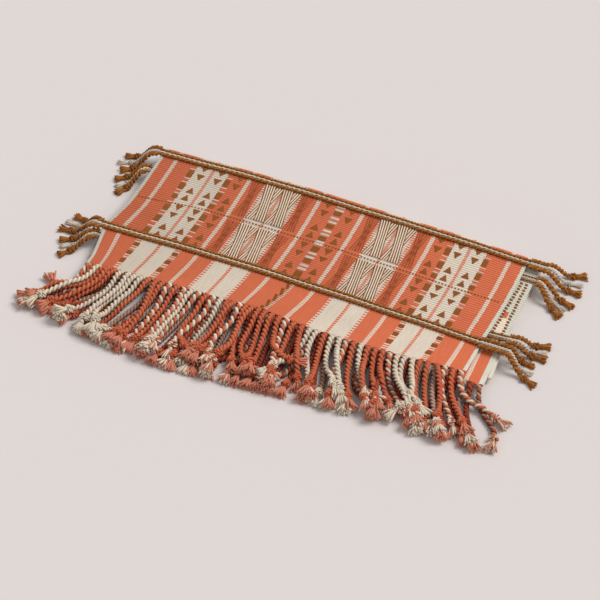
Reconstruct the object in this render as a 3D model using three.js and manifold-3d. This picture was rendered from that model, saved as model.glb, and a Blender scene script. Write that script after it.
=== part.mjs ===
// A handwoven table runner, folded into a packet, with twined bands, side tails and knotted fringes.
// Millimetres. +X runs along the weft, +Y towards the back folds and +Z up.
// The origin is the middle of the packet's flat underside, which rests on the table.
import * as THREE from 'three';
import { mergeVertices } from 'three/addons/utils/BufferGeometryUtils.js';
import Module from 'manifold-3d';

const wasm = await Module();
wasm.setup();

// The cloth: one continuous woven length, folded in half three times into eight layers.
const CLOTH_WIDTH = 380;
const CLOTH_THICKNESS = 1.2;
const LAYER_PITCH = 1.75; // centre to centre of two layers that rest on each other
const LAYERS = 8;
const BAND_ROOM = 2.1; // extra height under the top layer, where the lower end's bands lie
const BACK_FOLD_Y = 76;
const FRONT_FOLD_Y = -74;
const END_Y = -92; // both woven ends stop here, and the fringes begin
const LAYER_ROUTE = [1, 8, 5, 4, 3, 6, 7, 2]; // layers in the order that the cloth runs through them
const SETTLE_START_Y = -30; // from here to the front the packet settles towards the table
const SETTLE_LENGTH = 62;
const SETTLE_SHARE = 0.25;
const SETTLE_STATIONS = [-72, -60, -45, SETTLE_START_Y];

// How far each layer has slipped along X, by layer number, at the back folds and at the front.
const BACK_SLIP = { 1: 0, 2: 12, 3: 8, 4: 5, 5: 5, 6: 8, 7: 12, 8: 0 };
const FRONT_SLIP = { 1: -6, 2: 19, 3: 22, 4: 22, 5: -4, 6: 13, 7: 13, 8: -4 };
const LOWER_END_SKEW = 0.02; // the lower end lies slightly turned: its Y rises by this share of X

// Twined bands: a cream row between two brown rows.
const TOUCH_GAP = 0.3;
const ROW_PITCH = 3.1;
const TOP_ROW_RADIUS = 1.3;
const LOWER_ROW_RADIUS = 1.0;
const ROW_OVERHANG = 2;
const TAIL_RADIUS = { brown: 2.2, cream: 1.5 };
const TAIL_SPREAD = 4.4; // from the cream tail to each brown one, where they leave the band
const TAIL_LEAD = 3; // the straight stretch of a tail past the last selvedge under it
const TAIL_SHARES = [0.17, 0.34, 0.5, 0.66, 0.83, 1];
const TAIL_SINK = [0.12, 0.7]; // the stretch of a tail, as shares of its length, that slopes down
const TAIL_STEPS = 6;
const BANDS = [
  {
    name: 'upper_back', layer: 1, y: 70.8, skew: 0,
    left: { angles: [-14, -24, -38], lengths: [33, 38, 34] },
    right: { angles: [24, 11, -2], lengths: [50, 48, 50] },
  },
  {
    name: 'upper_front', layer: 1, y: -44.7, skew: 0,
    left: { angles: [16, 5, -6], lengths: [33, 36, 38] },
    right: { angles: [2, -10, -22], lengths: [48, 50, 60] },
  },
  {
    name: 'lower_back', layer: 2, y: 51, skew: 0.02,
    left: { angles: [-38, -50, -62], lengths: [32, 31, 32] },
    right: { angles: [-20, -28, -36], lengths: [38, 34, 36] },
  },
  {
    name: 'lower_front', layer: 2, y: -41.7, skew: 0.07,
    left: { angles: [-28, -38, -50], lengths: [34, 32, 34] },
    right: { angles: [22, 14, 6], lengths: [34, 32, 34] },
  },
];
const ROW_NAMES = ['back_brown', 'cream', 'front_brown'];

// Fringes: the warp ends of each woven end, twisted into cords, six cords to a bundle.
const CORDS_PER_END = 54;
const CORDS_PER_BUNDLE = 6;
const CORD_RADIUS = 2.6;
const CORD_STEPS = 5;
const FAN_LEFT = -35; // degrees from straight out, at the left corner
const FAN_RIGHT = 29;
const HEADING_DEPTH = 3.2;
const CORD_REACH = [0, 7, 15, 25, 45, 78]; // distances from the root at which the heights are set
const FRINGES = [
  { name: 'upper_fringe', layer: 1, skew: 0, heights: [12.1, 12, 10.8, 9.2, 8.6, 8.5] },
  { name: 'lower_fringe', layer: 2, skew: LOWER_END_SKEW, heights: [5.9, 4.2, 3.1, 2.75, 2.75, 2.75] },
];

const COLOURS = { coral: 0xd06a4c, cream: 0xe0d2bc, brown: 0x8a5616 };
const CORD_SIDES = 8;

function clothMaterial(colour) {
  return new THREE.MeshStandardMaterial({ color: COLOURS[colour], roughness: 0.9, metalness: 0 });
}

function smoothStep(low, high, value) {
  const t = THREE.MathUtils.clamp((value - low) / (high - low), 0, 1);
  return t * t * (3 - 2 * t);
}

// The share of its full height that the packet keeps at y.
function settle(y) {
  return 1 - SETTLE_SHARE * smoothStep(0, SETTLE_LENGTH, SETTLE_START_Y - y);
}

// The height of a layer's mid-surface before the packet settles.
function layerHeight(layer) {
  const lift = layer === 1 ? BAND_ROOM : 0;
  return CLOTH_THICKNESS / 2 + (LAYERS - layer) * LAYER_PITCH + lift;
}

function slipAt(layer, y) {
  const front = layer <= 2 ? END_Y : FRONT_FOLD_Y;
  const share = THREE.MathUtils.clamp((BACK_FOLD_Y - y) / (BACK_FOLD_Y - front), 0, 1);
  return THREE.MathUtils.lerp(BACK_SLIP[layer], FRONT_SLIP[layer], share);
}

// A point of the cloth's cross-section, with its slip along X and its turn in the plane of the table.
function sectionPoint(y, z, layer) {
  const turned = layer === 2 ? (BACK_FOLD_Y - y) / (BACK_FOLD_Y - END_Y) : 0;
  return { y, z, slip: slipAt(layer, y), skew: LOWER_END_SKEW * Math.max(turned, 0) };
}

function layerRun(layer, towardsBack) {
  const front = layer <= 2 ? END_Y : FRONT_FOLD_Y;
  const stations = [front, ...SETTLE_STATIONS, BACK_FOLD_Y];
  const run = stations.map((y) => sectionPoint(y, layerHeight(layer), layer));
  return towardsBack ? run : run.reverse();
}

// The inner points of the half circle that joins two layers.
function foldRun(from, to, atBack) {
  const [start, end] = [layerHeight(from), layerHeight(to)];
  const radius = Math.abs(start - end) / 2;
  const steps = radius < LAYER_PITCH ? 6 : 10;
  const foldY = atBack ? BACK_FOLD_Y : FRONT_FOLD_Y;
  const outwards = atBack ? 1 : -1;
  const points = [];
  for (let i = 1; i < steps; i += 1) {
    const turn = (Math.PI * i) / steps;
    const y = foldY + outwards * radius * Math.sin(turn);
    const z = (start + end) / 2 + ((start - end) / 2) * Math.cos(turn);
    points.push({ ...sectionPoint(foldY, z, from), y });
  }
  return points;
}

function clothCentreline() {
  return LAYER_ROUTE.flatMap((layer, i) => {
    const towardsBack = i % 2 === 0;
    const run = layerRun(layer, towardsBack);
    const next = LAYER_ROUTE[i + 1];
    return next ? [...run, ...foldRun(layer, next, towardsBack)] : run;
  });
}

// The closed outline of the cloth's cross-section: one face out, and the other face back.
function clothOutline() {
  const line = clothCentreline();
  const offset = (side) => line.map((point, i) => {
    const before = line[Math.max(i - 1, 0)];
    const after = line[Math.min(i + 1, line.length - 1)];
    const along = new THREE.Vector2(after.y - before.y, after.z - before.z).normalize();
    const reach = (side * CLOTH_THICKNESS) / 2;
    return { ...point, y: point.y - along.y * reach, z: point.z + along.x * reach };
  });
  return [...offset(1), ...offset(-1).reverse()];
}

function nearestPoint(outline, y, z) {
  const distance = (p) => (p.y - y) ** 2 + (p.z - z) ** 2;
  return outline.reduce((best, p) => (distance(p) < distance(best) ? p : best));
}

function wovenCloth() {
  const outline = clothOutline();
  const shape = new THREE.Shape(outline.map((p) => new THREE.Vector2(p.y, p.z)));
  const geometry = new THREE.ExtrudeGeometry(shape, { depth: CLOTH_WIDTH, bevelEnabled: false });
  const position = geometry.attributes.position;
  for (let i = 0; i < position.count; i += 1) {
    const [y, z] = [position.getX(i), position.getY(i)];
    const across = position.getZ(i) - CLOTH_WIDTH / 2;
    const { slip, skew } = nearestPoint(outline, y, z);
    position.setXYZ(i, across + slip, y + skew * across, z * settle(y));
  }
  geometry.computeVertexNormals();
  return named('woven_cloth', geometry, 'coral');
}

function named(name, geometry, colour) {
  const mesh = new THREE.Mesh(geometry, clothMaterial(colour));
  mesh.name = name;
  return mesh;
}

function roundSection(radius) {
  const corners = Array.from({ length: CORD_SIDES }, (_, i) => {
    const turn = (2 * Math.PI * (i + 0.5)) / CORD_SIDES;
    return new THREE.Vector2(radius * Math.cos(turn), radius * Math.sin(turn));
  });
  return new THREE.Shape(corners);
}

function tube(points, radius, steps) {
  const path = points.length === 2 ? new THREE.LineCurve3(...points) : new THREE.CatmullRomCurve3(points);
  return new THREE.ExtrudeGeometry(roundSection(radius), { steps, extrudePath: path });
}

// The height of a band's row centres at y: on the top layer, or in the room under it.
function rowHeight(band, y) {
  const topFace = (layerHeight(band.layer) + CLOTH_THICKNESS / 2) * settle(y);
  return topFace + TOUCH_GAP + rowRadius(band);
}

function rowRadius(band) {
  return band.layer === 1 ? TOP_ROW_RADIUS : LOWER_ROW_RADIUS;
}

// How far the given layers' selvedges reach beyond the cloth's half width: side -1 is left and 1 is right.
function reachOf(layers, band, side) {
  return Math.max(...layers.map((layer) => side * slipAt(layer, band.y)));
}

// Where a band's row ends, past its own selvedge and the one above it.
// The shift is the row's distance behind the band's middle.
function bandEnd(band, side, shift) {
  const reach = reachOf(band.layer === 1 ? [1] : [1, 2], band, side);
  const x = side * (CLOTH_WIDTH / 2 + ROW_OVERHANG + reach);
  const y = band.y + band.skew * x + shift;
  return new THREE.Vector3(x, y, rowHeight(band, y));
}

function bandRows(band) {
  return ROW_NAMES.map((row, i) => {
    const ends = [-1, 1].map((side) => bandEnd(band, side, (1 - i) * ROW_PITCH));
    const colour = row === 'cream' ? 'cream' : 'brown';
    return named(`${band.name}_band_${row}`, tube(ends, rowRadius(band), 1), colour);
  });
}

// A tail leaves its row level and straight, turns aside past the selvedges under it, then sinks onto the table.
function tailRoute(band, start, side, angle, length, radius) {
  const turn = THREE.MathUtils.degToRad(angle);
  const clear = CLOTH_WIDTH / 2 + ROW_OVERHANG + reachOf([1, 2, 3, 4], band, side);
  const leadLength = Math.max(clear - side * start.x, 0) + TAIL_LEAD;
  const lead = new THREE.Vector3(start.x + side * leadLength, start.y, start.z);
  const rest = TAIL_SHARES.map((share) => {
    const sunk = smoothStep(...TAIL_SINK, share);
    return new THREE.Vector3(
      lead.x + side * Math.cos(turn) * (length - leadLength) * share,
      lead.y + Math.sin(turn) * (length - leadLength) * share,
      THREE.MathUtils.lerp(start.z, radius + 0.1, sunk),
    );
  });
  return [start, lead, ...rest];
}

function bandTails(band) {
  return [-1, 1].flatMap((side) => {
    const where = side < 0 ? 'left' : 'right';
    const { angles, lengths } = band[where];
    return ROW_NAMES.map((row, i) => {
      const colour = row === 'cream' ? 'cream' : 'brown';
      const clear = new THREE.Vector3(side * 2 * TOUCH_GAP, 0, 0);
      const start = bandEnd(band, side, (1 - i) * TAIL_SPREAD).add(clear);
      const route = tailRoute(band, start, side, angles[i], lengths[i], TAIL_RADIUS[colour]);
      return named(`${band.name}_${where}_tail_${row}`, tube(route, TAIL_RADIUS[colour], TAIL_STEPS), colour);
    });
  });
}

function solidOf(geometry) {
  const bare = geometry.clone();
  bare.deleteAttribute('normal');
  bare.deleteAttribute('uv');
  const merged = mergeVertices(bare, 1e-3);
  const vertProperties = new Float32Array(merged.attributes.position.array);
  const triVerts = new Uint32Array(merged.index.array);
  return new wasm.Manifold(new wasm.Mesh({ numProp: 3, vertProperties, triVerts }));
}

function geometryOf(solid) {
  const mesh = solid.getMesh();
  const geometry = new THREE.BufferGeometry();
  geometry.setAttribute('position', new THREE.BufferAttribute(mesh.vertProperties, 3));
  geometry.setIndex(new THREE.BufferAttribute(mesh.triVerts, 1));
  return geometry;
}

function fringeCord(fringe, across) {
  const share = across / CLOTH_WIDTH + 0.5;
  const turn = THREE.MathUtils.degToRad(THREE.MathUtils.lerp(FAN_LEFT, FAN_RIGHT, share));
  const root = new THREE.Vector2(across + FRONT_SLIP[fringe.layer], END_Y - 2.2 + fringe.skew * across);
  const points = CORD_REACH.map((reach, i) => new THREE.Vector3(
    root.x + Math.sin(turn) * reach,
    root.y - Math.cos(turn) * reach,
    fringe.heights[i],
  ));
  return tube(points, CORD_RADIUS, CORD_STEPS);
}

// The heading is the last pick of the weft, from which a bundle's cords hang.
function fringeHeading(fringe, middle, width) {
  const geometry = new THREE.BoxGeometry(width, HEADING_DEPTH, CLOTH_THICKNESS);
  geometry.rotateZ(Math.atan(fringe.skew));
  const y = END_Y - TOUCH_GAP - HEADING_DEPTH / 2 + fringe.skew * middle;
  geometry.translate(middle + FRONT_SLIP[fringe.layer], y, layerHeight(fringe.layer) * settle(END_Y));
  return geometry;
}

function fringeBundle(fringe, index) {
  const pitch = CLOTH_WIDTH / CORDS_PER_END;
  const first = -CLOTH_WIDTH / 2 + pitch * (index * CORDS_PER_BUNDLE + 0.5);
  const middle = first + (pitch * (CORDS_PER_BUNDLE - 1)) / 2;
  let solid = solidOf(fringeHeading(fringe, middle, pitch * CORDS_PER_BUNDLE - 2 * TOUCH_GAP));
  for (let i = 0; i < CORDS_PER_BUNDLE; i += 1) {
    solid = solid.add(solidOf(fringeCord(fringe, first + i * pitch)));
  }
  return named(`${fringe.name}_bundle_${index + 1}`, geometryOf(solid), 'coral');
}

function fringeBundles(fringe) {
  const count = CORDS_PER_END / CORDS_PER_BUNDLE;
  return Array.from({ length: count }, (_, i) => fringeBundle(fringe, i));
}

const runner = new THREE.Group();
runner.add(wovenCloth());
BANDS.forEach((band) => runner.add(...bandRows(band), ...bandTails(band)));
FRINGES.forEach((fringe) => runner.add(...fringeBundles(fringe)));

export default runner;
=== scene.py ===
import math

import bpy
import numpy as np
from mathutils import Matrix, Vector


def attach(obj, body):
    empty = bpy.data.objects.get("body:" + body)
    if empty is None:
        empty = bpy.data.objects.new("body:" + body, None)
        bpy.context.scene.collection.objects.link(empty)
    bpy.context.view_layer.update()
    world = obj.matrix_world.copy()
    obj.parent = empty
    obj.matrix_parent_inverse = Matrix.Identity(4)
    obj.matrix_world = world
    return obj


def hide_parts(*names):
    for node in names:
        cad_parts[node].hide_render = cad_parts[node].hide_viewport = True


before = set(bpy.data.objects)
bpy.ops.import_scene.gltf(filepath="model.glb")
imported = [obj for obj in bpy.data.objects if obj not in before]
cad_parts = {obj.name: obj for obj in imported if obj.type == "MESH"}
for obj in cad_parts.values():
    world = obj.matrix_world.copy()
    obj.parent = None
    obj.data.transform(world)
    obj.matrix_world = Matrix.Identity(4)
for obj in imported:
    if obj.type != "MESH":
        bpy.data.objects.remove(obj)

# Lengths are in millimetres, in the part's own frame, until a mesh is made. MM makes them metres.
MM = 0.001
UP = np.array([0.0, 0.0, 1.0])
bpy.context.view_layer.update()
rng = np.random.default_rng(11)

# ---- The camera ----

CAMERA_AZIMUTH = 24.4
CAMERA_ELEVATION = 43.9
CAMERA_DISTANCE = 2600
CAMERA_LENS = 168.8
CAMERA_TARGET = (13.6, -54.0, 8.0)


def make_camera():
    azimuth, elevation = math.radians(CAMERA_AZIMUTH), math.radians(CAMERA_ELEVATION)
    back = Vector((
        math.sin(azimuth) * math.cos(elevation),
        -math.cos(azimuth) * math.cos(elevation),
        math.sin(elevation),
    ))
    camera = bpy.data.objects.new("camera", bpy.data.cameras.new("camera"))
    bpy.context.scene.collection.objects.link(camera)
    camera.location = (Vector(CAMERA_TARGET) + back * CAMERA_DISTANCE) * MM
    camera.rotation_mode = "QUATERNION"
    camera.rotation_quaternion = (-back).to_track_quat("-Z", "Y")
    camera.data.lens = CAMERA_LENS
    camera.data.clip_end = 20
    bpy.context.scene.camera = camera


make_camera()

# ---- The same driving sizes as the CAD model's ----

CLOTH_WIDTH = 380
HALF_WIDTH = CLOTH_WIDTH / 2
CLOTH_THICKNESS = 1.2
LAYER_PITCH = 1.75
LAYERS = 8
BAND_ROOM = 2.1
BACK_FOLD_Y = 76
FRONT_FOLD_Y = -74
END_Y = -92
LAYER_ROUTE = (1, 8, 5, 4, 3, 6, 7, 2)
SETTLE_START_Y = -30
SETTLE_LENGTH = 62
SETTLE_SHARE = 0.25
BACK_SLIP = {1: 0, 2: 12, 3: 8, 4: 5, 5: 5, 6: 8, 7: 12, 8: 0}
FRONT_SLIP = {1: -6, 2: 19, 3: 22, 4: 22, 5: -4, 6: 13, 7: 13, 8: -4}
LOWER_END_SKEW = 0.02

TOUCH_GAP = 0.3
ROW_PITCH = 3.1
ROW_RADIUS = {1: 1.3, 2: 1.0}
ROW_OVERHANG = 2
TAIL_RADIUS = {"brown": 2.2, "cream": 1.5}
TAIL_SPREAD = 4.4
TAIL_LEAD = 3
TAIL_SHARES = (0.17, 0.34, 0.5, 0.66, 0.83, 1)
TAIL_SINK = (0.12, 0.7)
BANDS = (
    {"name": "upper_back", "layer": 1, "y": 70.8, "skew": 0,
     "left": ((-14, 33), (-24, 38), (-38, 34)), "right": ((24, 50), (11, 48), (-2, 50))},
    {"name": "upper_front", "layer": 1, "y": -44.7, "skew": 0,
     "left": ((16, 33), (5, 36), (-6, 38)), "right": ((2, 48), (-10, 50), (-22, 60))},
    {"name": "lower_back", "layer": 2, "y": 51, "skew": 0.02,
     "left": ((-38, 32), (-50, 31), (-62, 32)), "right": ((-20, 38), (-28, 34), (-36, 36))},
    {"name": "lower_front", "layer": 2, "y": -41.7, "skew": 0.07,
     "left": ((-28, 34), (-38, 32), (-50, 34)), "right": ((22, 34), (14, 32), (6, 34))},
)
ROWS = (("back_brown", "brown"), ("cream", "cream"), ("front_brown", "brown"))   # name, colour

CORDS_PER_END = 54
CORDS_PER_BUNDLE = 6

# ---- Colours, linear ----

CORAL = (0.60, 0.143, 0.063)
CREAM = (0.65, 0.56, 0.455)
BROWN = (0.375, 0.138, 0.018)
MINT = (0.55, 0.59, 0.51)
FIGURE_BROWN = (0.28, 0.088, 0.013)
LINE_RED = (0.36, 0.082, 0.02)
BRIGHT_CREAM = (0.76, 0.65, 0.51)
FLOOR = (0.76, 0.705, 0.69)


# ---- Strands and meshes ----

def smooth(low, high, value):
    t = np.clip((value - low) / (high - low), 0, 1)
    return t * t * (3 - 2 * t)


def unit(vectors):
    return vectors / np.linalg.norm(vectors, axis=-1, keepdims=True)


def distances(path):
    """How far along the path each of its points is."""
    steps = np.linalg.norm(np.diff(path, axis=0), axis=1)
    return np.concatenate([[0], np.cumsum(steps)])


def resample(path, step):
    """The same path with points an even step apart."""
    along = distances(path)
    even = np.linspace(0, along[-1], max(2, round(along[-1] / step) + 1))
    return np.stack([np.interp(even, along, path[:, k]) for k in range(3)], axis=1)


def smooth_route(points, step):
    """A Catmull-Rom curve through the points, with points an even step apart."""
    points = np.array(points, float)
    ends = [2 * points[0] - points[1], *points, 2 * points[-1] - points[-2]]
    t = np.linspace(0, 1, 12, endpoint=False)[:, None]
    pieces = []
    for a, b, c, d in zip(ends, ends[1:], ends[2:], ends[3:]):
        pieces.append(0.5 * (2 * b + (c - a) * t + (2 * a - 5 * b + 4 * c - d) * t**2
                             + (3 * b - a - 3 * c + d) * t**3))
    return resample(np.concatenate([*pieces, points[-1:]]), step)


def sweep(path, sections, up=UP):
    """Rings along a path. A section's points are sideways and upwards from the path."""
    tangent = unit(np.gradient(path, axis=0))
    side = unit(np.cross(tangent, np.broadcast_to(up, path.shape)))
    normal = np.cross(side, tangent)
    return path[:, None] + sections[..., :1] * side[:, None] + sections[..., 1:] * normal[:, None]


def angles(around):
    return 2 * math.pi * np.arange(around) / around


def round_sections(radii, around, height=1.0):
    """Round sections, or flattened ones where height is under 1."""
    turn = angles(around)
    shape = np.stack([np.cos(turn), height * np.sin(turn)], axis=1)
    return np.asarray(radii)[:, None, None] * shape


PLY_OFFSET = 0.85  # from a rope's middle to a ply's, in ply radii
ROPE_SIDES = 12


def rope_sections(along, radii, pitch, width=1.0, height=1.0, ply_offset=PLY_OFFSET):
    """Two plies twisted round each other, with a full turn in each pitch."""
    turn = angles(ROPE_SIDES)
    offset = ply_offset * np.abs(np.cos(turn))
    reach = (offset + np.sqrt(1 - (ply_offset * np.sin(turn)) ** 2)) / (1 + ply_offset)
    turned = turn + 2 * math.pi * along[:, None] / pitch
    sections = (np.broadcast_to(radii, along.shape)[:, None] * reach)[..., None]
    sections = sections * np.stack([np.cos(turned), np.sin(turned)], axis=-1)
    scale = np.stack([np.broadcast_to(width, along.shape), np.broadcast_to(height, along.shape)], 1)
    return sections * scale[:, None]


class Pile:
    """Strands gathered into one mesh, with what the yarn material reads at each vertex."""

    def __init__(self):
        self.points, self.faces, self.yarn, self.tint_a, self.tint_b = [], [], [], [], []
        self.size = 0

    def add(self, rings, along, tint_a, tint_b=None, shade=None):
        count, around = rings.shape[:2]
        index = np.arange(count * around).reshape(count, around) + self.size
        near, far = index[:-1], index[1:]
        quads = np.stack([near, far, np.roll(far, -1, 1), np.roll(near, -1, 1)], -1)
        self.faces += quads.reshape(-1, 4).tolist()
        self.faces += [index[0].tolist(), index[-1][::-1].tolist()]
        turn = angles(around)
        yarn = np.empty((count, around, 3))
        yarn[..., 0], yarn[..., 1], yarn[..., 2] = np.cos(turn), np.sin(turn), along[:, None]
        # A single strand keeps its cosine near 1, so it takes only a little of the painted groove shade.
        if tint_b is None:
            yarn[..., 0] = 0.8 + 0.2 * yarn[..., 0]
        shade = np.ones((count, around, 3)) if shade is None else shade
        self.points.append(rings.reshape(-1, 3))
        self.yarn.append(yarn.reshape(-1, 3))
        for tints, colour in ((self.tint_a, tint_a), (self.tint_b, tint_b or tint_a)):
            shaded = (shade * colour).reshape(-1, 3)
            tints.append(np.column_stack([shaded, np.ones(len(shaded))]))
        self.size += count * around

    def make(self, name, material, slot):
        mesh = bpy.data.meshes.new(name)
        mesh.from_pydata((np.concatenate(self.points) * MM).tolist(), [], self.faces)
        give(mesh, "yarn", "FLOAT_VECTOR", "vector", np.concatenate(self.yarn))
        give(mesh, "tint_a", "FLOAT_COLOR", "color", np.concatenate(self.tint_a))
        give(mesh, "tint_b", "FLOAT_COLOR", "color", np.concatenate(self.tint_b))
        return place(name, mesh, material, slot)


def give(mesh, name, kind, field, values):
    attribute = mesh.attributes.new(name, kind, "POINT")
    attribute.data.foreach_set(field, np.asarray(values, np.float32).ravel())


def place(name, mesh, material, slot):
    mesh.polygons.foreach_set("use_smooth", [True] * len(mesh.polygons))
    mesh.materials.append(material)
    piece = bpy.data.objects.new(name, mesh)
    bpy.context.scene.collection.objects.link(piece)
    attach(piece, "root")
    return piece


# ---- Materials ----

class Shader:
    """A node material. Its methods add a node and return its output."""

    def __init__(self, name, roughness, sheen):
        self.material = bpy.data.materials.new(name)
        self.material.use_nodes = True
        self.tree = self.material.node_tree
        self.surface = self.tree.nodes["Principled BSDF"]
        self.surface.inputs["Roughness"].default_value = roughness
        self.surface.inputs["Sheen Weight"].default_value = sheen
        self.surface.inputs["Sheen Roughness"].default_value = 0.6
        self.surface.inputs["Specular IOR Level"].default_value = 0.2

    def node(self, kind, inputs, **settings):
        made = self.tree.nodes.new("ShaderNode" + kind)
        for key, value in settings.items():
            setattr(made, key, value)
        for key, value in inputs.items():
            if isinstance(value, bpy.types.NodeSocket):
                self.tree.links.new(value, made.inputs[key])
            else:
                made.inputs[key].default_value = value
        return made

    def math(self, operation, *values):
        return self.node("Math", dict(enumerate(values)), operation=operation).outputs[0]

    def product(self, *values):
        total = values[0]
        for value in values[1:]:
            total = self.math("MULTIPLY", total, value)
        return total

    def around_one(self, value, amount):
        """A factor that goes from 1 - amount/2 to 1 + amount/2 while the value goes from 0 to 1."""
        return self.math("MULTIPLY_ADD", value, amount, 1 - amount / 2)

    def mix(self, factor, a, b, blend="MIX"):
        def colour(value):
            return value if isinstance(value, bpy.types.NodeSocket) else (*value, 1.0)
        inputs = {0: factor, 6: colour(a), 7: colour(b)}
        return self.node("Mix", inputs, data_type="RGBA", blend_type=blend).outputs[2]

    def shaded(self, colour, shade):
        return self.mix(1.0, colour, self.vector(shade, shade, shade), "MULTIPLY")

    def attribute(self, name):
        return self.node("Attribute", {}, attribute_name=name)

    def split(self, vector):
        return self.node("SeparateXYZ", {0: vector}).outputs

    def vector(self, x, y, z):
        return self.node("CombineXYZ", {0: x, 1: y, 2: z}).outputs[0]

    def noise(self, vector, scale, detail=2.0):
        made = self.node("TexNoise", {"Vector": vector, "Scale": scale, "Detail": detail})
        return made.outputs[0]

    def ramp(self, factor, stops, width):
        """A constant ramp. A stop is (where it starts, colour), in the units of width."""
        made = self.node("ValToRGB", {0: factor})
        made.color_ramp.interpolation = "CONSTANT"
        elements = made.color_ramp.elements
        for number, (start, colour) in enumerate(stops):
            element = elements[number] if number < 2 else elements.new(start / width)
            element.position = start / width
            element.color = (*colour, 1.0)
        return made.outputs[0]

    def between(self, value, low, high):
        """1 where the value is between low and high, and 0 elsewhere."""
        above = self.math("GREATER_THAN", value, low)
        return self.product(above, self.math("LESS_THAN", value, high))

    def finish(self, colour, height, depth):
        """depth is the bump's, in millimetres."""
        self.tree.links.new(colour, self.surface.inputs["Base Color"])
        bump = self.node("Bump", {"Strength": 0.7, "Distance": depth * MM, "Height": height})
        self.tree.links.new(bump.outputs[0], self.surface.inputs["Normal"])
        return self.material


GROOVE_SHADE = 0.66   # what is left of the colour in the painted shade of the groove between two plies
PAINTED_PLY_HIGHLIGHT = 0.16   # and how far above 1 the painted highlight goes on a ply's top
YARN_BUMP = 0.5
CLOTH_BUMP = 0.35


def yarn_material(name):
    """Spun cotton: each ply has its own tint and fine fibres along it, with painted shade in the groove
    beside it and a painted highlight on its top.
    """
    shader = Shader(name, roughness=0.92, sheen=0.06)
    cosine, sine, along = shader.split(shader.attribute("yarn").outputs["Vector"])
    first = shader.math("GREATER_THAN", cosine, 0.0)
    tint = shader.mix(first, shader.attribute("tint_b").outputs["Color"],
                      shader.attribute("tint_a").outputs["Color"])
    fibre_place = shader.vector(shader.product(cosine, 3.0), shader.product(sine, 3.0),
                                shader.product(along, 0.35))
    fibres = shader.noise(fibre_place, 1.6, 3.0)
    mottle = shader.noise(shader.node("TexCoord", {}).outputs["Object"], 130.0, 2.0)
    # Painted shade in the groove between two plies, and a painted highlight on each ply's top.
    ply_top = shader.math("ABSOLUTE", cosine)
    groove = shader.math("MULTIPLY_ADD", ply_top, 1 - GROOVE_SHADE + PAINTED_PLY_HIGHLIGHT, GROOVE_SHADE)
    shade = shader.product(groove, shader.around_one(fibres, 0.30), shader.around_one(mottle, 0.24))
    return shader.finish(shader.shaded(tint, shade), fibres, YARN_BUMP)


RIB_PITCH = 2.75
PICK_PITCH = 1.65  # from one pass of figure yarn to the next
LADDER_PITCH, LADDER_SHARE = 2.75, 0.36   # from notch to notch, and a notch's share of that
COMB_PITCH, COMB_SHARE = 3.3, 0.5
TICK_PITCH, TICK_SHARE = 3.0, 0.42
THREAD_PITCH = 0.8
SELVEDGE = 186.6        # the ground's stripes are given from the middle outwards
GROUND_STRIPES = (
    (0, CORAL), (20.4, CREAM), (24, CORAL), (40.5, CREAM), (58.5, CORAL), (61.5, CREAM), (80, CORAL),
    (93.8, CREAM), (97.4, CORAL), (118, CREAM), (132, CORAL), (135, CREAM), (150, CORAL),
    (171, CREAM), (174.6, CORAL), (SELVEDGE, MINT),
)
CREAM_LADDERS = ((20.4, 24), (93.8, 97.4), (171, 174.6))
CORAL_LADDERS = ((58.5, 61.5), (132, 135))
COMBS = ((40.2, 43.2), (77.0, 80.0))
TICK_COLUMNS = ((112, 118), (150, 156))
LOWER_SELVEDGE = 185.2  # it starts a little further in on the lower end
LOWER_STRIP = 173.6     # the lower end's patterned part is pale from there to its selvedge
LOWER_TICK_COLUMNS = ((174.6, 181.2), (185.2, 184.8))   # across, at the front band and the back band
INSET_ACROSS, INSET_ALONG = (175.2, 184.8), (49.0, 88.0)   # a cream block between those columns
PATCH_ACROSS, PATCH_ALONG = (177.5, 182.0), (88.0, 97.0)   # and a coral one behind it


def blend(a, b, share):
    """A colour on the way from a to b."""
    return tuple((1 - share) * x + share * y for x, y in zip(a, b))


def stripes_colour(shader, u, along, patterned, ragged):
    """The ground's stripes with their ladders and combs, the same on every layer."""
    edge = shader.math("ADD", u, ragged)
    ground = shader.ramp(shader.math("DIVIDE", edge, HALF_WIDTH), GROUND_STRIPES, HALF_WIDTH)

    def inside(columns):
        masks = [shader.between(u, low, high) for low, high in columns]
        total = masks[0]
        for mask in masks[1:]:
            total = shader.math("ADD", total, mask)
        return total

    def beat(pitch, share, shift=0.0):
        """1 in the first share of each pitch along the cloth."""
        turns = shader.math("DIVIDE", shader.math("ADD", along, shift), pitch)
        return shader.math("LESS_THAN", shader.math("FRACT", turns), share)

    notches = shader.product(inside(CREAM_LADDERS), beat(LADDER_PITCH, LADDER_SHARE))
    colour = shader.mix(notches, ground, blend(CORAL, CREAM, 0.3))
    dots = shader.product(inside(CORAL_LADDERS), beat(LADDER_PITCH, LADDER_SHARE, 1.0))
    colour = shader.mix(dots, colour, blend(CORAL, CREAM, 0.7))
    combs = inside(COMBS)
    gaps = shader.product(combs, beat(COMB_PITCH, COMB_SHARE, COMB_SHARE * COMB_PITCH))
    colour = shader.mix(gaps, colour, CORAL)
    teeth = shader.product(combs, beat(COMB_PITCH, COMB_SHARE))
    colour = shader.mix(teeth, colour, CREAM)
    tick_gaps = shader.product(inside(TICK_COLUMNS), beat(TICK_PITCH, TICK_SHARE))
    plain = shader.math("SUBTRACT", 1.0, patterned)
    colour = shader.mix(shader.product(tick_gaps, plain), colour, CREAM)
    return colour, shader.math("GREATER_THAN", edge, SELVEDGE)


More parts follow.
